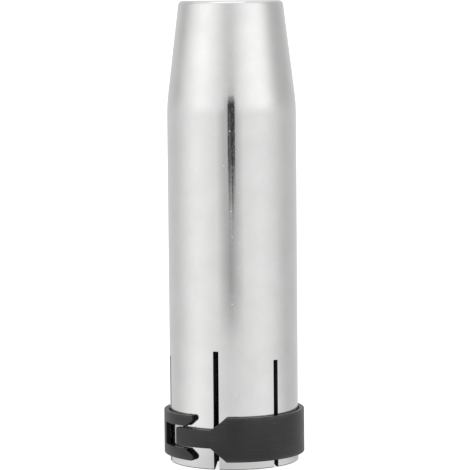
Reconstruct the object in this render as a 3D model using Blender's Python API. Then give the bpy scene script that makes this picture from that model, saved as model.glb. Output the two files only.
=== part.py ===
"""Push-on gas nozzle of a MIG welding torch, with its insulating sleeve and split clamp ring.

Metres, +Z up. The origin is the centre of the slotted rear end, on which the nozzle stands;
the mouth, where the shielding gas leaves, is at the top. Angles are measured about +Z from the
front, -Y, towards +X.
"""
from math import atan2, cos, pi, radians, sin, sqrt, tan

import bmesh
import bpy
from mathutils import Matrix, Vector

# Nozzle body
BODY_LENGTH = 0.0859
BODY_DIAMETER = 0.024
BODY_WALL = 0.002
CONE_LENGTH = 0.0192          # tapered front of the body
MOUTH_BORE = 0.016
MOUTH_WALL = 0.00165
MOUTH_LAND = 0.0028           # straight bore behind the mouth
SHOULDER_RADIUS = 0.036       # blend from the straight body into the cone
LIP_RADIUS = 0.0009           # rounding of the mouth's outer edge
MOUTH_EDGE = 0.00015          # bevel of the mouth's inner edge
REAR_EDGE = 0.0002            # bevel of the rear end's outer edge
LEAD_IN_HEIGHT = 0.001        # internal chamfer at the rear end
LEAD_IN_WIDTH = 0.0013

# Saw cuts: each one passes through both walls and leaves a long and a short slot
CUT_COUNT = 3
CUT_WIDTH = 0.001
CUT_ANGLE = radians(-18)      # direction of the first cut
CUT_OFFSET = 0.00042          # from the axis to the middle of a cut
CUT_HEIGHT = 0.0219           # length of the long slots
BLADE_RADIUS = 0.0625
BLADE_LEAN = 0.00495          # from the axis to the blade's centre, towards the long slot
CUT_MARGIN = 0.002            # reach of a cutter past the part

# Insulating sleeve, pressed into the body
SLEEVE_LENGTH = 0.026
SLEEVE_WALL = 0.00135
SLEEVE_RECESS = 0.0011        # from the rear end to the sleeve
SLEEVE_CLEARANCE = 0.00015
SLEEVE_EDGE = 0.0002

# Clamp ring, split by a tongue that lies in a fork; lengths run along its outer face
RING_HEIGHT = 0.0082
RING_THICKNESS = 0.00095
RING_SEAT = 0.00157           # from the rear end to the ring
RING_CLEARANCE = 0.0002
RING_EDGE = 0.00015           # bevel of the ring's edges
TIP_ANGLE = radians(-55.6)    # where the tongue ends
TIP_GAP = 0.0047              # from the tongue's end to the bottom of the fork
TONGUE_LENGTH = 0.0082
TONGUE_HEIGHT = 0.0034
TONGUE_OFFSET = 0.0001        # the tongue lies above the middle of the ring
SHOULDER_LENGTH = 0.0031      # slopes from the tongue out to the full height
CLASP_CLEARANCE = 0.00035     # from the tongue to each prong, with the tongue central
PRONG_OVERLAP = 0.0061        # reach of the prongs past the tongue's end, to their sharp tips
PRONG_TAPER = 0.00345
TONGUE_CORNER = 0.0005
FORK_CORNER = 0.0003
PRONG_CORNER = 0.0004
SHOULDER_CORNER = 0.0003

# Facets
TURN_STEPS = 96
ARC_STEPS = 6
CUT_STEPS = 14

body_radius = BODY_DIAMETER / 2
bore_radius = body_radius - BODY_WALL
mouth_radius = MOUTH_BORE / 2
cone_start = BODY_LENGTH - CONE_LENGTH


def clear_scene():
    for item in list(bpy.data.objects):
        bpy.data.objects.remove(item, do_unlink=True)


def make_material(name, color, roughness, metallic):
    material = bpy.data.materials.new(name)
    material.use_nodes = True
    shader = material.node_tree.nodes["Principled BSDF"]
    shader.inputs["Base Color"].default_value = (*color, 1)
    shader.inputs["Roughness"].default_value = roughness
    shader.inputs["Metallic"].default_value = metallic
    return material


def add_object(name, bm, material=None):
    """Turn a bmesh into a linked object with outward faces and smooth round surfaces."""
    bmesh.ops.recalc_face_normals(bm, faces=bm.faces)
    if bm.calc_volume(signed=True) < 0:
        bmesh.ops.reverse_faces(bm, faces=bm.faces)
    mesh = bpy.data.meshes.new(name)
    bm.to_mesh(mesh)
    bm.free()
    mesh.shade_smooth()
    mesh.set_sharp_from_angle(angle=radians(25))
    if material:
        mesh.materials.append(material)
    item = bpy.data.objects.new(name, mesh)
    bpy.context.scene.collection.objects.link(item)
    return item


def arc(center, radius, start, end):
    """Points of an arc in a plane, both ends included."""
    angles = [start + (end - start) * step / ARC_STEPS for step in range(ARC_STEPS + 1)]
    return [(center[0] + radius * cos(angle), center[1] + radius * sin(angle)) for angle in angles]


def turn(name, profile, material):
    """Turn a closed profile of (radius, height) points about the Z axis."""
    bm = bmesh.new()
    verts = [bm.verts.new((radius, 0, height)) for radius, height in profile]
    edges = [bm.edges.new((verts[i - 1], verts[i])) for i in range(len(verts))]
    bmesh.ops.spin(bm, geom=verts + edges, cent=(0, 0, 0), axis=(0, 0, 1), angle=2 * pi,
                   steps=TURN_STEPS, use_merge=True)
    return add_object(name, bm, material)


def body_profile():
    """Outline of the body's wall: up the outside, over the lip and down the inside."""
    outer_mouth = mouth_radius + MOUTH_WALL
    slope = atan2(body_radius - outer_mouth, CONE_LENGTH)
    shoulder = (body_radius - SHOULDER_RADIUS, cone_start - SHOULDER_RADIUS * tan(slope / 2))
    lip_radius = min(LIP_RADIUS, (MOUTH_WALL - MOUTH_EDGE) * 0.8)
    lip = (outer_mouth - lip_radius * (1 - sin(slope)) / cos(slope), BODY_LENGTH - lip_radius)
    return [
        (body_radius - REAR_EDGE, 0),
        (body_radius, REAR_EDGE),
        *arc(shoulder, SHOULDER_RADIUS, 0, slope),
        *arc(lip, lip_radius, slope, pi / 2),
        (mouth_radius + MOUTH_EDGE, BODY_LENGTH),
        (mouth_radius, BODY_LENGTH - MOUTH_EDGE),
        (mouth_radius, BODY_LENGTH - MOUTH_LAND),
        (bore_radius, cone_start),
        (bore_radius, LEAD_IN_HEIGHT),
        (bore_radius + LEAD_IN_WIDTH, 0),
    ]


def sleeve_profile():
    outer = bore_radius - SLEEVE_CLEARANCE
    inner = outer - SLEEVE_WALL
    top = SLEEVE_RECESS + SLEEVE_LENGTH
    return [
        (outer, SLEEVE_RECESS),
        (outer, top),
        (inner + SLEEVE_EDGE, top),
        (inner, top - SLEEVE_EDGE),
        (inner, SLEEVE_RECESS + SLEEVE_EDGE),
        (inner + SLEEVE_EDGE, SLEEVE_RECESS),
    ]


def make_cutter(index):
    """The part of a saw blade that passes through the body, its long slot on the -Y side."""
    reach = body_radius + CUT_MARGIN
    blade_bottom = CUT_HEIGHT - sqrt(BLADE_RADIUS ** 2 - (body_radius - BLADE_LEAN) ** 2)
    bm = bmesh.new()
    outline = [(-reach, -CUT_MARGIN)]
    for step in range(CUT_STEPS + 1):
        along = reach * (2 * step / CUT_STEPS - 1)
        outline.append((along, blade_bottom + sqrt(BLADE_RADIUS ** 2 - (along + BLADE_LEAN) ** 2)))
    outline.append((reach, -CUT_MARGIN))
    verts = [bm.verts.new((CUT_OFFSET - CUT_WIDTH / 2, y, z)) for y, z in outline]
    side = bm.faces.new(verts)
    extruded = bmesh.ops.extrude_face_region(bm, geom=[side])["geom"]
    moved = [item for item in extruded if isinstance(item, bmesh.types.BMVert)]
    bmesh.ops.translate(bm, verts=moved, vec=(CUT_WIDTH, 0, 0))
    cutter = add_object(f"saw_blade_{index + 1}", bm)
    cutter.rotation_euler.z = CUT_ANGLE + index * 2 * pi / CUT_COUNT
    cutter.hide_render = True
    cutter.display_type = "WIRE"
    return cutter


def saw(item, cutters):
    for cutter in cutters:
        modifier = item.modifiers.new(cutter.name, "BOOLEAN")
        modifier.operation = "DIFFERENCE"
        modifier.solver = "EXACT"
        modifier.object = cutter


def round_corner(before, corner, after, radius):
    """Points of the arc that rounds one corner of an outline."""
    here = Vector(corner)
    back = (Vector(before) - here).normalized()
    ahead = (Vector(after) - here).normalized()
    half = back.angle(ahead) / 2
    center = here + (back + ahead).normalized() * radius / sin(half)
    start = here + back * radius / tan(half) - center
    turn_angle = start.angle_signed(here + ahead * radius / tan(half) - center)
    points = []
    for step in range(ARC_STEPS + 1):
        offset = start.copy()
        offset.rotate(Matrix.Rotation(-turn_angle * step / ARC_STEPS, 2))
        points.append(tuple(center + offset))
    return points


def ring_outline(circumference):
    """Outline of the unrolled ring as (length, height) from the tongue's end at mid height."""
    half = RING_HEIGHT / 2
    tongue = TONGUE_HEIGHT / 2
    window = tongue + CLASP_CLEARANCE
    root = TONGUE_LENGTH
    shoulder = root + SHOULDER_LENGTH
    fork = circumference - TIP_GAP
    prong_tip = circumference + PRONG_OVERLAP
    taper = prong_tip - PRONG_TAPER
    corners = [
        ((0, TONGUE_OFFSET - tongue), TONGUE_CORNER),
        ((root, TONGUE_OFFSET - tongue), SHOULDER_CORNER),
        ((shoulder, -half), SHOULDER_CORNER),
        ((prong_tip, -half), PRONG_CORNER),
        ((taper, -window), SHOULDER_CORNER),
        ((fork, -window), FORK_CORNER),
        ((fork, window), FORK_CORNER),
        ((taper, window), SHOULDER_CORNER),
        ((prong_tip, half), PRONG_CORNER),
        ((shoulder, half), SHOULDER_CORNER),
        ((root, TONGUE_OFFSET + tongue), SHOULDER_CORNER),
        ((0, TONGUE_OFFSET + tongue), TONGUE_CORNER),
    ]
    points = []
    for index, (corner, radius) in enumerate(corners):
        before = corners[index - 1][0]
        after = corners[(index + 1) % len(corners)][0]
        points += round_corner(before, corner, after, radius)
    return points


def make_ring(material):
    """Cut the ring flat, bevel its edges, and roll it up around the body."""
    inner = body_radius + RING_CLEARANCE
    outer = inner + RING_THICKNESS
    circumference = 2 * pi * outer
    outline = ring_outline(circumference)

    bm = bmesh.new()
    sheet = bm.faces.new([bm.verts.new((along, 0, height)) for along, height in outline])
    extruded = bmesh.ops.extrude_face_region(bm, geom=[sheet])["geom"]
    moved = [item for item in extruded if isinstance(item, bmesh.types.BMVert)]
    bmesh.ops.translate(bm, verts=moved, vec=(0, RING_THICKNESS, 0))
    bmesh.ops.recalc_face_normals(bm, faces=bm.faces)
    rim = [edge for edge in bm.edges if abs(edge.verts[0].co.y - edge.verts[1].co.y) < RING_EDGE]
    bmesh.ops.bevel(bm, geom=rim, offset=RING_EDGE, segments=1, profile=0.5, affect="EDGES")

    step = circumference / TURN_STEPS
    stations = {round(vert.co.x / (step / 8)) * step / 8 for vert in bm.verts}
    stations |= {step * index for index in range(TURN_STEPS + TURN_STEPS // 8)}
    for station in sorted(stations):
        bmesh.ops.bisect_plane(bm, geom=bm.verts[:] + bm.edges[:] + bm.faces[:], dist=1e-7,
                               plane_co=(station, 0, 0), plane_no=(1, 0, 0))

    for vert in bm.verts:
        angle = TIP_ANGLE + vert.co.x / outer
        radius = inner + vert.co.y
        vert.co = (radius * sin(angle), -radius * cos(angle), vert.co.z)
    ring = add_object("clamp_ring", bm, material)
    ring.location.z = RING_SEAT + RING_HEIGHT / 2
    return ring


def build():
    clear_scene()
    plating = make_material("satin_nickel_plating", (0.74, 0.73, 0.71), 0.28, 1)
    insulation = make_material("dark_insulation", (0.03, 0.027, 0.025), 0.7, 0)
    black_spring = make_material("black_ring", (0.035, 0.035, 0.036), 0.45, 0)

    body = turn("nozzle_body", body_profile(), plating)
    sleeve = turn("insulating_sleeve", sleeve_profile(), insulation)
    cutters = [make_cutter(index) for index in range(CUT_COUNT)]
    saw(body, cutters)
    saw(sleeve, cutters)
    make_ring(black_spring)


build()
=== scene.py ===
"""Looks of a push-on MIG gas nozzle: plated slotted body, insulating sleeve and split clamp ring.

Metres, +Z up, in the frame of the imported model. The nozzle stands on its slotted rear end at
z = 0. Angles are measured about +Z from the front, -Y, towards +X.
"""

from math import asin, atan2, cos, pi, radians, sin, sqrt, tan

import bmesh
import bpy
from mathutils import Matrix, Vector


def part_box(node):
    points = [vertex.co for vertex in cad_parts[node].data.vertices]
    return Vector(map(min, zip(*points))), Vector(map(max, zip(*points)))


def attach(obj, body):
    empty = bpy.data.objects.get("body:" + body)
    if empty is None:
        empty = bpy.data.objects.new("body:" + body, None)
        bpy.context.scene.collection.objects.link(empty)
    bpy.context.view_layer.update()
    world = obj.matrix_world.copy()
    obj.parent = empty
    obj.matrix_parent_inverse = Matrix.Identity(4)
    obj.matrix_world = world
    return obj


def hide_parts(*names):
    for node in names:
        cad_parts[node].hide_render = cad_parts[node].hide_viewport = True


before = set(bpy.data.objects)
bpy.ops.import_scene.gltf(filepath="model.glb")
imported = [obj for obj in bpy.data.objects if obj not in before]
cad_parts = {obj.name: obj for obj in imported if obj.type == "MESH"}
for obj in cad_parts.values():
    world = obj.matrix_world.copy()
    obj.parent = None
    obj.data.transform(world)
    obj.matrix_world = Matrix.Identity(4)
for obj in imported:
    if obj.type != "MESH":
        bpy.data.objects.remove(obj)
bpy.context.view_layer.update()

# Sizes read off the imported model
body_low, body_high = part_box("nozzle_body")
sleeve_low, sleeve_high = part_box("insulating_sleeve")
ring_low, ring_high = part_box("clamp_ring")
body_length = body_high.z
body_radius = min(body_high.x, body_high.y, -body_low.x, -body_low.y)
sleeve_radius = min(sleeve_high.x, sleeve_high.y, -sleeve_low.x, -sleeve_low.y)
ring_radius = min(ring_high.x, ring_high.y, -ring_low.x, -ring_low.y)
ring_middle = (ring_low.z + ring_high.z) / 2
ring_half_height = (ring_high.z - ring_low.z) / 2

# Nozzle body
BODY_WALL = 0.002
CONE_LENGTH = 0.0192
MOUTH_BORE = 0.016
MOUTH_WALL = 0.00165
MOUTH_LAND = 0.0028
SHOULDER_RADIUS = 0.036
LIP_RADIUS = 0.0009
MOUTH_EDGE = 0.00015
REAR_EDGE = 0.0002
LEAD_IN_HEIGHT = 0.001
LEAD_IN_WIDTH = 0.0013

# Saw cuts
CUT_COUNT = 3
CUT_WIDTH = 0.001
CUT_ANGLE = radians(-18)
CUT_OFFSET = 0.00042          # sideways, from the tube's axis to the middle of a cut
CUT_HEIGHT = 0.0219
BLADE_RADIUS = 0.0625
BLADE_LEAN = 0.00495          # the blade's axis lies this far towards the long slot
CUT_EDGE = 0.00007            # deburred edges of the slots

# Insulating sleeve
SLEEVE_WALL = 0.00135
SLEEVE_EDGE = 0.0001

# Clamp ring
RING_THICKNESS = 0.00095
RING_EDGE = 0.00015
TIP_ANGLE = radians(-55.6)
TIP_GAP = 0.0047
TONGUE_LENGTH = 0.0082
TONGUE_HEIGHT = 0.0034
TONGUE_OFFSET = 0.0001
SHOULDER_LENGTH = 0.0031
CLASP_CLEARANCE = 0.00035
PRONG_OVERLAP = 0.0061
PRONG_TAPER = 0.00345
TONGUE_CORNER = 0.0005
FORK_CORNER = 0.0003
PRONG_CORNER = 0.0006
SHOULDER_CORNER = 0.0003
PRONG_RISE = 0.00022          # the upper prong stands up by this much at its tip
PRONG_DROP = 0.0001           # and the lower one hangs down
WEAR_HIGHLIGHT_WIDTH = 0.0009         # the black is worn thin and a highlight is painted this far in from the ring's edges

# Facets
FINGER_STEPS = 54             # columns from one slot to the next
SLOT_STEPS = 4                # columns across a slot
SLOT_ROWS = 8                 # rows from the rear end up to the end of the short slots
EDGE_STEPS = 4
ARC_STEPS = 10
SHOULDER_STEPS = 16
BARREL_ROWS = 16
SOCKET_ROWS = 12
TAPER_ROWS = 8
RING_STEPS = 360
RING_TOLERANCE = 1e-7         # vertices this close to a cut of the flat ring lie on it
BEVEL_SEGMENTS = 3
SOFTEN_ANGLE = radians(50)    # edges sharper than this are rounded
SHARP_ANGLE = radians(35)     # edges sharper than this are shaded as edges

# Material indices, and how the faces of the ring are told apart
SAWN = 1
WORN_HIGHLIGHT_EDGE = 1
SHEARED = 2
FLAT_LOOK = 0.99              # faces that look this squarely out or in are the strip's two sides
SHEARED_LOOK = 0.3            # edge faces that look this much along the ring are cut ends

bore_radius = body_radius - BODY_WALL
mouth_radius = MOUTH_BORE / 2
cone_start = body_length - CONE_LENGTH

# Camera, level with the mouth
CAMERA_DISTANCE = 0.47847
CAMERA_PITCH = radians(5.211)
CAMERA_YAW = radians(-0.053)
CAMERA_ROLL = radians(-0.499)
CAMERA_LENS = 197.07
CAMERA_CLIP = 0.01

# Studio
WALL_DISTANCE = 3.0
WALL_HEIGHT = 4.0
BOWL_STEPS = 128
BOWL_TOLERANCE = 1e-5
LIGHT_DROP = 0.001            # the lit floor and wall lie this far outside the ones in view
FLOOR_GRAY = 0.5
FLOOR_GLOW = 0.8

# Light that the nozzle mirrors. Each light: its direction in degrees from the front, how far it
# reaches to either side, and what it adds to the level
WALL_RISE = 0.4               # height over which the floor's light gives way to the wall's
WALL_LEVEL = 0.70
WALL_LIGHTS = (
    (-58, 65, 0.56),          # broad light to the left of the camera
    (44, 59, 0.53),           # and to the right
    (66, 26, 0.12),
    (-118, 28, -0.06),        # dark flags beside the nozzle
    (115, 42, -0.115),
)
FLOOR_LEVEL = 0.72
FLOOR_LIGHTS = (
    (-63, 60, 0.36),
    (-6, 50, 0.11),
    (50, 60, 0.28),
    (115, 40, -0.06),
)
CEILING_RISE = 1.5            # from here up, the ceiling's level takes over
CEILING_LEVEL = 1.0
CONTACT_START = 0.025         # the nozzle darkens the floor from here inward
CONTACT_END = 0.070
CONTACT_LEVEL = 0.84
FRONT_SHADE_ANGLE = radians(-3.5)
FRONT_SHADE_INNER = radians(1)
FRONT_SHADE_OUTER = radians(24)
FRONT_SHADE_START = 0.16
FRONT_SHADE_END = 0.32
FRONT_SHADE_LEVEL = 0.53
SHADE_MARGIN = 0.0006         # a dark disc, a painted contact shadow, lies under the nozzle and reaches this far around it
SHADE_DEPTH = 0.0004
SHADE_LEVEL = 0.04
SHADE_STEPS = 96

# Cards behind the camera that the front of the nozzle mirrors: name, left, right, low, high, level
# of light, shares of the width and of the height that are soft at each end, and distance back
CARD_GAP = 0.01               # from the camera to where the distance back is counted from
CARDS = (
    ("gap_between_lights", -0.172, 0.130, -0.050, 0.200, 0.61, (0.36, 0.36), 0.020),
    ("camera_top", -0.058, 0.046, 0.090, 0.167, 0.30, (0.12, 0.08), 0.006),
    ("camera_body", -0.066, 0.052, 0.009, 0.144, 0.045, (0.06, 0.16), 0.005),
    ("camera_grip", -0.042, -0.018, 0.012, 0.085, 0.15, (0.2, 0.2), 0.004),
    ("camera_lens", -0.012, 0.022, 0.072, 0.100, 0.09, (0.3, 0.3), 0.004),
    ("stand_left", -0.046, -0.030, 0.005, 0.030, 0.08, (0.2, 0.3), 0.002),
    ("stand_right", -0.004, 0.020, 0.003, 0.032, 0.03, (0.2, 0.3), 0.002),
)
OVERHEAD_WIDTH = 1.09
OVERHEAD_DEPTH = 0.52
OVERHEAD_PLACE = (-0.085, -0.18, 1.2)
OVERHEAD_LEVEL = 1.6
OVERHEAD_SOFTNESS = (0.1, 0.1)


# --- Meshes ------------------------------------------------------------------------------------

def link_mesh(name, bm, materials):
    """Turn a bmesh into an object of the scene."""
    mesh = bpy.data.meshes.new(name)
    bm.to_mesh(mesh)
    bm.free()
    for item in materials:
        mesh.materials.append(item)
    linked = bpy.data.objects.new(name, mesh)
    bpy.context.scene.collection.objects.link(linked)
    return linked


def add_piece(name, bm, materials, body, node):
    """Link a bmesh as a smooth-shaded piece that stands for a CAD node."""
    bmesh.ops.recalc_face_normals(bm, faces=bm.faces)
    if bm.calc_volume(signed=True) < 0:
        bmesh.ops.reverse_faces(bm, faces=bm.faces)
    piece = link_mesh(name, bm, materials)
    piece.data.shade_smooth()
    piece.data.set_sharp_from_angle(angle=SHARP_ANGLE)
    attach(piece, body)
    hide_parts(node)


def arc(center, radius, start, end, steps=ARC_STEPS):
    """Points of an arc in a plane, both ends included."""
    angles = [start + (end - start) * step / steps for step in range(steps + 1)]
    return [(center[0] + radius * cos(angle), center[1] + radius * sin(angle)) for angle in angles]


def spread(start, end, steps):
    """Points on the straight line between two points, without its ends."""
    return [
        (start[0] + (end[0] - start[0]) * step / steps, start[1] + (end[1] - start[1]) * step / steps)
        for step in range(1, steps)
    ]


def cut_top(radius, long_side):
    """Height of a slot's end where it crosses a cylinder of that radius."""
    blade_bottom = CUT_HEIGHT - sqrt(BLADE_RADIUS ** 2 - (body_radius - BLADE_LEAN) ** 2)
    reach = radius - BLADE_LEAN if long_side else radius + BLADE_LEAN
    return blade_bottom + sqrt(BLADE_RADIUS ** 2 - reach ** 2)


def slot_sides(index, radius):
    """Angles of the two sides of slot number index at that radius; even ones are long."""
    near = asin((CUT_OFFSET - CUT_WIDTH / 2) / radius)
    far = asin((CUT_OFFSET + CUT_WIDTH / 2) / radius)
    turn = CUT_ANGLE + (index // 2) * 2 * pi / CUT_COUNT
    if index % 2 == 0:
        return turn + near, turn + far
    return turn + pi - far, turn + pi - near


def column_angles(radius):
    """Angles of all mesh columns at that radius, and the order in which the slots come round."""
    order = sorted(range(2 * CUT_COUNT), key=lambda index: slot_sides(index, body_radius)[0] % (2 * pi))
    angles = []
    for place, index in enumerate(order):
        start, end = slot_sides(index, radius)
        following = order[(place + 1) % len(order)]
        finger_end = slot_sides(following, radius)[0]
        finger = (finger_end - end) % (2 * pi)
        angles += [start + (end - start) * step / SLOT_STEPS for step in range(SLOT_STEPS)]
        angles += [end + finger * step / FINGER_STEPS for step in range(FINGER_STEPS)]
    return angles, order


def slotted_tube(outer, inner, tops, least_radius):
    """Mesh of a tube sawn from below.

    outer and inner are profiles of (radius, height) going up. tops gives the rows of both at
    which the long and the short slots end.
    """
    bm = bmesh.new()
    order = column_angles(body_radius)[1]

    def lay(profile):
        rows = []
        for radius, height in profile:
            angles = column_angles(max(radius, least_radius))[0]
            rows.append([bm.verts.new((radius * sin(a), -radius * cos(a), height)) for a in angles])
        return rows

    outside = lay(outer)
    inside = lay(inner)
    count = len(outside[0])
    stretch = SLOT_STEPS + FINGER_STEPS

    def slot_end(column):
        """Row at which the slot over this column ends, or 0 where there is no slot."""
        place, step = divmod(column, stretch)
        if step >= SLOT_STEPS:
            return 0
        return tops[order[place] % 2]

    for column in range(count):
        beside = (column + 1) % count
        top = slot_end(column)
        for rows in (outside, inside):
            for row in range(top, len(rows) - 1):
                bm.faces.new((rows[row][column], rows[row][beside],
                              rows[row + 1][beside], rows[row + 1][column]))
        end = bm.faces.new((outside[top][column], outside[top][beside],
                            inside[top][beside], inside[top][column]))
        end.material_index = SAWN if top else 0
        bm.faces.new((outside[-1][column], outside[-1][beside],
                      inside[-1][beside], inside[-1][column]))
        for edge_column, neighbour in ((column, column - 1), (beside, beside)):
            if top and not slot_end(neighbour % count):
                for row in range(top):
                    wall = bm.faces.new((outside[row][edge_column], outside[row + 1][edge_column],
                                         inside[row + 1][edge_column], inside[row][edge_column]))
                    wall.material_index = SAWN
    bmesh.ops.recalc_face_normals(bm, faces=bm.faces)
    return bm


def soften(bm, width):
    """Round every sharp convex edge."""
    sharp = [edge for edge in bm.edges if edge.is_convex and edge.calc_face_angle(0) > SOFTEN_ANGLE]
    bmesh.ops.bevel(bm, geom=sharp, offset=width, segments=BEVEL_SEGMENTS, profile=0.5,
                    affect="EDGES", clamp_overlap=True)


def make_body(plating, painted_slot_shade):
    """Tube with a tapered front, drawn as an outer and an inner profile and slit from below."""
    outer_mouth = mouth_radius + MOUTH_WALL
    slope = atan2(body_radius - outer_mouth, CONE_LENGTH)
    shoulder = (body_radius - SHOULDER_RADIUS, cone_start - SHOULDER_RADIUS * tan(slope / 2))
    lip = (outer_mouth - LIP_RADIUS * (1 - sin(slope)) / cos(slope), body_length - LIP_RADIUS)
    long_top, short_top = cut_top(body_radius, True), cut_top(body_radius, False)
    long_inner, short_inner = cut_top(bore_radius, True), cut_top(bore_radius, False)

    rear = arc((body_radius - REAR_EDGE, REAR_EDGE), REAR_EDGE, -pi / 2, 0, EDGE_STEPS)
    shoulder_arc = arc(shoulder, SHOULDER_RADIUS, 0, slope, SHOULDER_STEPS)
    lip_arc = arc(lip, LIP_RADIUS, slope, pi / 2)
    below = spread(rear[-1], (body_radius, short_top), SLOT_ROWS)
    outer = [*rear, *below, (body_radius, short_top), (body_radius, (short_top + long_top) / 2),
             (body_radius, long_top)]
    outer += spread(outer[-1], shoulder_arc[0], BARREL_ROWS)
    outer += shoulder_arc
    outer += spread(outer[-1], lip_arc[0], TAPER_ROWS)
    outer += lip_arc

    entry = (bore_radius + LEAD_IN_WIDTH, 0)
    socket = (bore_radius, LEAD_IN_HEIGHT)
    land = (mouth_radius, body_length - MOUTH_LAND)
    inner = [entry, *spread(entry, socket, EDGE_STEPS), socket]
    inner += spread(socket, (bore_radius, short_inner), SLOT_ROWS)
    inner += [(bore_radius, short_inner), (bore_radius, (short_inner + long_inner) / 2),
              (bore_radius, long_inner)]
    inner += spread(inner[-1], (bore_radius, cone_start), SOCKET_ROWS)
    inner += [(bore_radius, cone_start)]
    inner += spread(inner[-1], land, TAPER_ROWS)
    inner += [land, (mouth_radius, body_length - MOUTH_EDGE), (mouth_radius + MOUTH_EDGE, body_length)]

    short_row = len(rear) + len(below)
    bm = slotted_tube(outer, inner, (short_row + 2, short_row), bore_radius)
    soften(bm, CUT_EDGE)
    add_piece("plated_nozzle_body", bm, (plating, painted_slot_shade), "nozzle", "nozzle_body")


def sleeve_profile(radius):
    """One side of the sleeve, with rows at the ends of the short and of the long slots."""
    bottom = (radius, sleeve_low.z)
    short_end = (radius, cut_top(radius, False))
    long_end = (radius, cut_top(radius, True))
    top = (radius, sleeve_high.z)
    below = spread(bottom, short_end, SLOT_ROWS)
    return [bottom, *below, short_end, long_end, *spread(long_end, top, EDGE_STEPS), top]


def make_sleeve(insulation):
    """Plain tube, slit by the same saw cuts as the body."""
    inner_radius = sleeve_radius - SLEEVE_WALL
    tops = (SLOT_ROWS + 1, SLOT_ROWS)
    bm = slotted_tube(sleeve_profile(sleeve_radius), sleeve_profile(inner_radius), tops, inner_radius)
    soften(bm, SLEEVE_EDGE)
    add_piece("dark_insulating_sleeve", bm, (insulation, insulation), "nozzle",
              "insulating_sleeve")


def round_corner(before, corner, after, radius):
    """Points of the arc that rounds one corner of an outline."""
    here = Vector(corner)
    back = (Vector(before) - here).normalized()
    ahead = (Vector(after) - here).normalized()
    half = back.angle(ahead) / 2
    center = here + (back + ahead).normalized() * radius / sin(half)
    start = here + back * radius / tan(half) - center
    turn_angle = start.angle_signed(here + ahead * radius / tan(half) - center)
    points = []
    for step in range(ARC_STEPS + 1):
        offset = start.copy()
        offset.rotate(Matrix.Rotation(-turn_angle * step / ARC_STEPS, 2))
        points.append(tuple(center + offset))
    return points


def ring_outline(circumference):
    """Outline of the unrolled ring as (length, height) from the tongue's end at mid height."""
    half = ring_half_height
    tongue = TONGUE_HEIGHT / 2
    window = tongue + CLASP_CLEARANCE
    root = TONGUE_LENGTH
    shoulder = root + SHOULDER_LENGTH
    fork = circumference - TIP_GAP
    prong_tip = circumference + PRONG_OVERLAP
    taper = prong_tip - PRONG_TAPER
    corners = [
        ((0, TONGUE_OFFSET - tongue), TONGUE_CORNER),
        ((root, TONGUE_OFFSET - tongue), SHOULDER_CORNER),
        ((shoulder, -half), SHOULDER_CORNER),
        ((prong_tip, -half), PRONG_CORNER),
        ((taper, -window), SHOULDER_CORNER),
        ((fork, -window), FORK_CORNER),
        ((fork, window), FORK_CORNER),
        ((taper, window), SHOULDER_CORNER),
        ((prong_tip, half), PRONG_CORNER),
        ((shoulder, half), SHOULDER_CORNER),
        ((root, TONGUE_OFFSET + tongue), SHOULDER_CORNER),
        ((0, TONGUE_OFFSET + tongue), TONGUE_CORNER),
    ]
    points = []
    for index, (corner, radius) in enumerate(corners):
        before = corners[index - 1][0]
        after = corners[(index + 1) % len(corners)][0]
        points += round_corner(before, corner, after, radius)
    return points


def make_ring(black, wear_and_highlight, painted_end_shade):
    """Cut the ring flat, round its edges, and roll it up around the body."""
    outer = ring_radius
    inner = outer - RING_THICKNESS
    circumference = 2 * pi * outer
    outline = ring_outline(circumference)

    bm = bmesh.new()
    sheet = bm.faces.new([bm.verts.new((along, 0, height)) for along, height in outline])
    extruded = bmesh.ops.extrude_face_region(bm, geom=[sheet])["geom"]
    moved = [item for item in extruded if isinstance(item, bmesh.types.BMVert)]
    bmesh.ops.translate(bm, verts=moved, vec=(0, RING_THICKNESS, 0))
    bmesh.ops.recalc_face_normals(bm, faces=bm.faces)
    rim = [edge for edge in bm.edges if abs(edge.verts[0].co.y - edge.verts[1].co.y) < RING_EDGE]
    bmesh.ops.bevel(bm, geom=rim, offset=RING_EDGE, segments=BEVEL_SEGMENTS, profile=0.5,
                    affect="EDGES")
    for face in bm.faces:
        if abs(face.normal.y) > FLAT_LOOK:
            continue
        # Outer rounded edges: worn black with a painted highlight
        if face.calc_center_median().y > RING_THICKNESS - RING_EDGE:
            face.material_index = WORN_HIGHLIGHT_EDGE
        # Cut ends and their inner rounds take the painted shade
        elif abs(face.normal.x) > SHEARED_LOOK:
            face.material_index = SHEARED

    step = circumference / RING_STEPS
    last = max(vert.co.x for vert in bm.verts)
    station = step
    while station < last:
        bmesh.ops.bisect_plane(bm, geom=bm.verts[:] + bm.edges[:] + bm.faces[:],
                               dist=RING_TOLERANCE, plane_co=(station, 0, 0), plane_no=(1, 0, 0))
        station += step

    fork = circumference - TIP_GAP
    for vert in bm.verts:
        angle = TIP_ANGLE + vert.co.x / outer
        radius = inner + vert.co.y
        bend = (max(vert.co.x - fork, 0) / (TIP_GAP + PRONG_OVERLAP)) ** 2
        height = vert.co.z + bend * (PRONG_RISE if vert.co.z > 0 else -PRONG_DROP)
        vert.co = (radius * sin(angle), -radius * cos(angle), height + ring_middle)
    add_piece("black_clamp_ring", bm, (black, wear_and_highlight, painted_end_shade), "ring", "clamp_ring")


# --- Materials ---------------------------------------------------------------------------------

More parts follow.
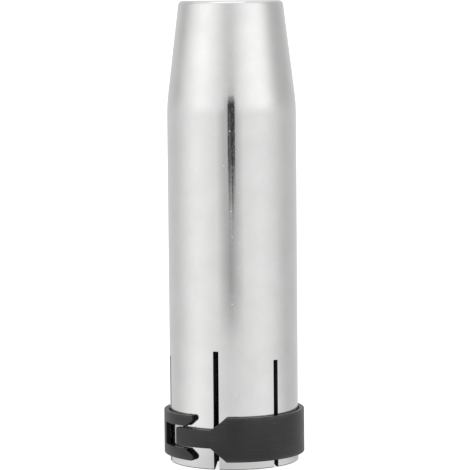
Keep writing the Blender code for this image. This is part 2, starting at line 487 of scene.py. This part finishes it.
class Nodes:
    """Short ways to add and join the nodes of one material.

    An input is named with _ for each space, and takes a value or another node's output.
    """

    def __init__(self, name):
        self.material = bpy.data.materials.new(name)
        self.material.use_nodes = True
        self.tree = self.material.node_tree
        self.shader = self.tree.nodes["Principled BSDF"]

    def add(self, kind, settings=None, **inputs):
        node = self.tree.nodes.new(kind)
        for key, value in (settings or {}).items():
            setattr(node, key, value)
        for key, value in inputs.items():
            self.put(node.inputs[key.replace("_", " ")], value)
        return node

    def put(self, socket, value):
        if isinstance(value, bpy.types.NodeSocket):
            self.tree.links.new(value, socket)
        else:
            socket.default_value = value

    def place(self, scale):
        """Object coordinates, stretched."""
        source = self.add("ShaderNodeTexCoord").outputs["Object"]
        mapping = self.add("ShaderNodeMapping", Vector=source, Scale=scale)
        return mapping.outputs["Vector"]

    def noise(self, scale, detail=4.0, roughness=0.5, stretch=(1, 1, 1)):
        node = self.add("ShaderNodeTexNoise", Vector=self.place(stretch), Scale=scale,
                        Detail=detail, Roughness=roughness)
        return node.outputs["Fac"]

    def specks(self, scale, size, share):
        """Small round specks in scattered cells; share is the part of the cells left bare."""
        cells = self.add("ShaderNodeTexVoronoi", Vector=self.place((1, 1, 1)), Scale=scale)
        dot = self.range(cells.outputs["Distance"], 0, size, 1, 0, smooth=True)
        chance = self.add("ShaderNodeSeparateColor", Color=cells.outputs["Color"]).outputs["Red"]
        return self.math("MULTIPLY", dot, self.math("GREATER_THAN", chance, share))

    def range(self, value, low, high, to_low, to_high, smooth=False):
        node = self.add("ShaderNodeMapRange", Value=value, From_Min=low, From_Max=high,
                        To_Min=to_low, To_Max=to_high)
        if smooth:
            node.interpolation_type = "SMOOTHSTEP"
        return node.outputs["Result"]

    def math(self, operation, first, second=0.0):
        node = self.add("ShaderNodeMath", {"operation": operation})
        self.put(node.inputs[0], first)
        self.put(node.inputs[1], second)
        return node.outputs["Value"]

    def mix(self, factor, first, second):
        node = self.add("ShaderNodeMix", {"data_type": "RGBA"})
        self.put(node.inputs["Factor"], factor)
        colors = [socket for socket in node.inputs if socket.type == "RGBA"]
        self.put(colors[0], first)
        self.put(colors[1], second)
        return next(socket for socket in node.outputs if socket.type == "RGBA")

    def bump(self, height, strength, distance, normal=None):
        node = self.add("ShaderNodeBump", Height=height, Strength=strength, Distance=distance)
        if normal:
            self.put(node.inputs["Normal"], normal)
        return node.outputs["Normal"]

    def set(self, **inputs):
        for key, value in inputs.items():
            self.put(self.shader.inputs[key.replace("_", " ")], value)


def gray(level, warmth=0.0):
    """Gray of that level, a little yellow when it has warmth."""
    return (level * (1 + warmth), level, level * (1 - warmth), 1)


def plating_material():
    """Satin nickel-chrome over turning marks, with a light haze and a few raised specks."""
    nodes = Nodes("satin_plating")
    turning = nodes.noise(1, detail=3, stretch=(60, 60, 9000))
    broad = nodes.noise(180, detail=5, roughness=0.6)
    fine = nodes.noise(2600, detail=2)
    color = nodes.mix(nodes.range(broad, 0.3, 0.7, 0, 1), gray(0.70, 0.004), gray(0.76, 0.004))
    nodes.set(Base_Color=color, Metallic=1.0)
    roughness = nodes.range(turning, 0.3, 0.7, 0.055, 0.085)
    haze = nodes.range(nodes.noise(4200, detail=2, stretch=(1, 1, 0.5)), 0.52, 0.70, 0, 0.08)
    roughness = nodes.math("ADD", roughness, nodes.range(broad, 0.35, 0.75, -0.01, 0.03))
    nodes.set(Roughness=nodes.math("ADD", roughness, haze))
    marks = nodes.bump(turning, 0.10, 0.00001)
    marks = nodes.bump(fine, 0.03, 0.00001, marks)
    nodes.set(Normal=nodes.bump(nodes.specks(850, 0.14, 0.68), 0.9, 0.00004, marks))
    return nodes.material


def slot_wall_shade_material():
    """Saw-cut, unplated metal, dull, coloured dark as painted shade of the narrow slots, with marks
    along the blade's travel.
    """
    nodes = Nodes("sawn_metal_painted_shade")
    marks = nodes.noise(1, detail=3, stretch=(500, 500, 9000))
    cloud = nodes.noise(700, detail=3)
    # Dark base colour: painted shade on the slot walls and slot ends
    nodes.set(Base_Color=nodes.mix(cloud, gray(0.05), gray(0.13)), Metallic=0.8)
    nodes.set(Roughness=nodes.range(cloud, 0.3, 0.7, 0.45, 0.6))
    nodes.set(Normal=nodes.bump(marks, 0.25, 0.00002))
    return nodes.material


def insulation_material():
    """Dark moulded insulation, matte and slightly speckled."""
    nodes = Nodes("dark_insulation")
    grain = nodes.noise(1500, detail=4)
    cloud = nodes.noise(300, detail=3)
    color = nodes.mix(nodes.range(cloud, 0.3, 0.7, 0, 1), gray(0.010), gray(0.022, 0.05))
    nodes.set(Base_Color=color)
    nodes.set(Roughness=nodes.range(grain, 0.3, 0.7, 0.6, 0.8))
    nodes.set(Normal=nodes.bump(grain, 0.3, 0.00005))
    return nodes.material


def ring_material(name, wear_highlight_share):
    """Black finish on spring steel, satin, with fine scratches, lighter near its top and bottom edges
    where worn and as painted highlight; the second argument is how much of the face is lightened so all
    over.
    """
    nodes = Nodes(name)
    grain = nodes.noise(1300, detail=3)
    cloud = nodes.noise(260, detail=4, roughness=0.6)
    scratch = nodes.noise(1, detail=2, stretch=(160, 160, 6500))
    line = nodes.range(scratch, 0.60, 0.70, 0, 1)
    color = nodes.mix(nodes.range(cloud, 0.3, 0.7, 0, 1), gray(0.006), gray(0.012))
    height = nodes.add("ShaderNodeSeparateXYZ", Vector=nodes.place((1, 1, 1))).outputs["Z"]
    off = nodes.math("ABSOLUTE", nodes.math("SUBTRACT", height, ring_middle))
    # Lighter band along the top and bottom edges: worn black and painted highlight
    rim = nodes.range(off, ring_half_height - WEAR_HIGHLIGHT_WIDTH, ring_half_height, 0, 1, smooth=True)
    wear_and_highlight = nodes.math("MAXIMUM", rim, wear_highlight_share)
    wear_and_highlight = nodes.math("MULTIPLY", wear_and_highlight, nodes.range(cloud, 0.40, 0.62, 0.15, 1))
    color = nodes.mix(nodes.math("MULTIPLY", line, 0.35), color, gray(0.06))
    nodes.set(Base_Color=nodes.mix(nodes.math("MULTIPLY", wear_and_highlight, 0.6), color, gray(0.045)))
    nodes.set(Roughness=nodes.range(cloud, 0.3, 0.7, 0.30, 0.42))
    nodes.set(Normal=nodes.bump(grain, 0.10, 0.00003, nodes.bump(scratch, 0.08, 0.00003)))
    return nodes.material


def cut_end_shade_material():
    """Ends of the ring's strip, cut by shearing and blackened, with painted shade: darker and duller
    than its faces.
    """
    nodes = Nodes("ring_end_painted_shade")
    marks = nodes.noise(1, detail=3, stretch=(7000, 7000, 700))
    cloud = nodes.noise(500, detail=3)
    # Near-black colour and a low specular level: painted shade on the cut ends
    nodes.set(Base_Color=nodes.mix(cloud, gray(0.003), gray(0.009)))
    nodes.set(Roughness=nodes.range(cloud, 0.3, 0.7, 0.6, 0.8))
    nodes.set(Specular_IOR_Level=0.12)
    nodes.set(Normal=nodes.bump(marks, 0.2, 0.00003))
    return nodes.material


# --- Studio ------------------------------------------------------------------------------------

def front_angle(nodes, place):
    """Angle about +Z from the front."""
    parts = nodes.add("ShaderNodeSeparateXYZ", Vector=place)
    forward = nodes.math("MULTIPLY", parts.outputs["Y"], -1.0)
    return nodes.math("ARCTAN2", parts.outputs["X"], forward)


def light_level(nodes, angle, level, lights):
    """Level of light by direction, with every light fading out to either side."""
    for degrees, reach, gain in lights:
        off = nodes.math("ABSOLUTE", nodes.math("SUBTRACT", angle, radians(degrees)))
        lobe = nodes.range(off, 0, radians(reach), gain, 0, smooth=True)
        level = nodes.math("ADD", lobe, level)
    return level


def floor_shade(nodes, place, angle):
    """Share of the floor's light that is left close to the nozzle and below the camera."""
    flat = nodes.add("ShaderNodeVectorMath", {"operation": "MULTIPLY"})
    nodes.put(flat.inputs[0], place)
    nodes.put(flat.inputs[1], (1, 1, 0))
    length = nodes.add("ShaderNodeVectorMath", {"operation": "LENGTH"})
    nodes.put(length.inputs[0], flat.outputs["Vector"])
    distance = length.outputs["Value"]
    near = nodes.range(distance, CONTACT_START, CONTACT_END, CONTACT_LEVEL, 1, smooth=True)
    off = nodes.math("ABSOLUTE", nodes.math("SUBTRACT", angle, FRONT_SHADE_ANGLE))
    across = nodes.range(off, FRONT_SHADE_INNER, FRONT_SHADE_OUTER, 1, 0)
    along = nodes.range(distance, FRONT_SHADE_START, FRONT_SHADE_END, 0, 1, smooth=True)
    front = nodes.math("MULTIPLY", across, along)
    front = nodes.range(front, 0, 1, 1, FRONT_SHADE_LEVEL)
    return nodes.math("MULTIPLY", near, front)


def floor_material():
    """Plain white floor, close to burnt out."""
    nodes = Nodes("pale_floor")
    nodes.set(Base_Color=gray(FLOOR_GRAY), Roughness=1.0, Specular_IOR_Level=0.0)
    nodes.set(Emission_Color=gray(1.0), Emission_Strength=FLOOR_GLOW)
    return nodes.material


def surround_material():
    """White surround, brighter to the left and right of the camera than behind the nozzle."""
    nodes = Nodes("white_surround")
    place = nodes.add("ShaderNodeTexCoord").outputs["Object"]
    height = nodes.add("ShaderNodeSeparateXYZ", Vector=place).outputs["Z"]
    angle = front_angle(nodes, place)
    low = light_level(nodes, angle, FLOOR_LEVEL, FLOOR_LIGHTS)
    low = nodes.math("MULTIPLY", low, floor_shade(nodes, place, angle))
    high = light_level(nodes, angle, WALL_LEVEL, WALL_LIGHTS)
    rise = nodes.range(height, 0, WALL_RISE, 0, 1, smooth=True)
    above = nodes.range(height, CEILING_RISE, WALL_HEIGHT, 0, 1, smooth=True)
    level = nodes.mix(above, nodes.mix(rise, low, high), gray(CEILING_LEVEL))
    nodes.set(Base_Color=gray(0.0), Roughness=1.0, Specular_IOR_Level=0.0)
    nodes.set(Emission_Color=level, Emission_Strength=1.0)
    return nodes.material


def card_material(name, level, soft=(0.0, 0.0)):
    """A card that gives off a level of its own and lets light pass at its soft sides and ends."""
    nodes = Nodes(name)
    nodes.set(Base_Color=gray(0.0), Roughness=1.0, Specular_IOR_Level=0.0)
    nodes.set(Emission_Color=gray(1.0), Emission_Strength=level)
    if max(soft) > 0:
        place = nodes.add("ShaderNodeTexCoord").outputs["Generated"]
        parts = nodes.add("ShaderNodeSeparateXYZ", Vector=place)
        cover = 1.0
        for axis, share in zip("XY", soft):
            across = nodes.math("ABSOLUTE", nodes.math("SUBTRACT", parts.outputs[axis], 0.5))
            fade = nodes.range(across, 0.5 - share, 0.5, 1, 0, smooth=True)
            cover = nodes.math("MULTIPLY", fade, cover)
        nodes.set(Alpha=cover)
    return nodes.material


def add_card(name, width, height, place, facing, level, soft):
    """A card that only mirrors show; its face looks at a point."""
    bm = bmesh.new()
    corners = [(-width / 2, -height / 2), (width / 2, -height / 2), (width / 2, height / 2),
               (-width / 2, height / 2)]
    bm.faces.new([bm.verts.new((x, y, 0)) for x, y in corners])
    card = link_mesh(name, bm, (card_material(name, level, soft),))
    card.location = place
    card.rotation_mode = "QUATERNION"
    card.rotation_quaternion = (Vector(facing) - Vector(place)).to_track_quat("Z", "Y")
    card.visible_camera = False


def add_bowl(name, material, drop):
    """Floor, round wall and ceiling, drawn in one sweep."""
    bm = bmesh.new()
    reach = WALL_DISTANCE + drop
    profile = [(0, -drop), (reach, -drop), (reach, WALL_HEIGHT), (0, WALL_HEIGHT)]
    verts = [bm.verts.new((radius, 0, height)) for radius, height in profile]
    edges = [bm.edges.new(pair) for pair in zip(verts, verts[1:])]
    bmesh.ops.spin(bm, geom=verts + edges, cent=(0, 0, 0), axis=(0, 0, 1), angle=2 * pi,
                   steps=BOWL_STEPS, use_merge=True)
    bmesh.ops.remove_doubles(bm, verts=bm.verts, dist=BOWL_TOLERANCE)
    bowl = link_mesh(name, bm, (material,))
    return bowl


def add_surround():
    """The pale floor and wall that the camera sees, and the lit ones that the nozzle sees."""
    seen = add_bowl("floor_and_wall", floor_material(), 0)
    seen.visible_glossy = False
    seen.visible_diffuse = False
    seen.visible_shadow = False
    lit = add_bowl("studio_light", surround_material(), LIGHT_DROP)
    lit.visible_camera = False


def add_cards():
    """Upright cards behind the camera, and a light overhead."""
    for name, left, right, low, high, level, soft, depth in CARDS:
        place = ((left + right) / 2, -CAMERA_DISTANCE - CARD_GAP - depth, (low + high) / 2)
        facing = (place[0], 0, place[2])
        add_card(name, right - left, high - low, place, facing, level, soft)
    below = (OVERHEAD_PLACE[0], OVERHEAD_PLACE[1], 0)
    add_card("overhead_light", OVERHEAD_WIDTH, OVERHEAD_DEPTH, OVERHEAD_PLACE, below,
             OVERHEAD_LEVEL, OVERHEAD_SOFTNESS)


def add_contact_shade():
    """Painted contact shadow: a dark disc under the nozzle, which its rear edge and its inside mirror.
    """
    bm = bmesh.new()
    bmesh.ops.create_circle(bm, cap_ends=True, segments=SHADE_STEPS, radius=body_radius + SHADE_MARGIN)
    shade = link_mesh("contact_shade", bm, (card_material("contact_shade", SHADE_LEVEL),))
    shade.location = (0, 0, -SHADE_DEPTH)
    shade.visible_camera = False


def add_camera():
    """Camera in front of the nozzle, level with the mouth and looking slightly down."""
    data = bpy.data.cameras.new("camera")
    data.lens = CAMERA_LENS
    data.clip_start = CAMERA_CLIP
    camera = bpy.data.objects.new("camera", data)
    camera.location = (0, -CAMERA_DISTANCE, body_length)
    turn = Matrix.Rotation(CAMERA_YAW, 4, "Z") @ Matrix.Rotation(pi / 2 - CAMERA_PITCH, 4, "X")
    camera.rotation_mode = "QUATERNION"
    camera.rotation_quaternion = (turn @ Matrix.Rotation(CAMERA_ROLL, 4, "Z")).to_quaternion()
    bpy.context.scene.collection.objects.link(camera)
    bpy.context.scene.camera = camera


def build():
    """The three pieces, then the studio around them."""
    make_body(plating_material(), slot_wall_shade_material())
    make_sleeve(insulation_material())
    make_ring(ring_material("black_ring_finish", 0.0), ring_material("worn_highlighted_ring_edge", 1.0),
              cut_end_shade_material())
    add_surround()
    add_cards()
    add_contact_shade()
    add_camera()
    bpy.context.scene.view_settings.view_transform = "Standard"


build()
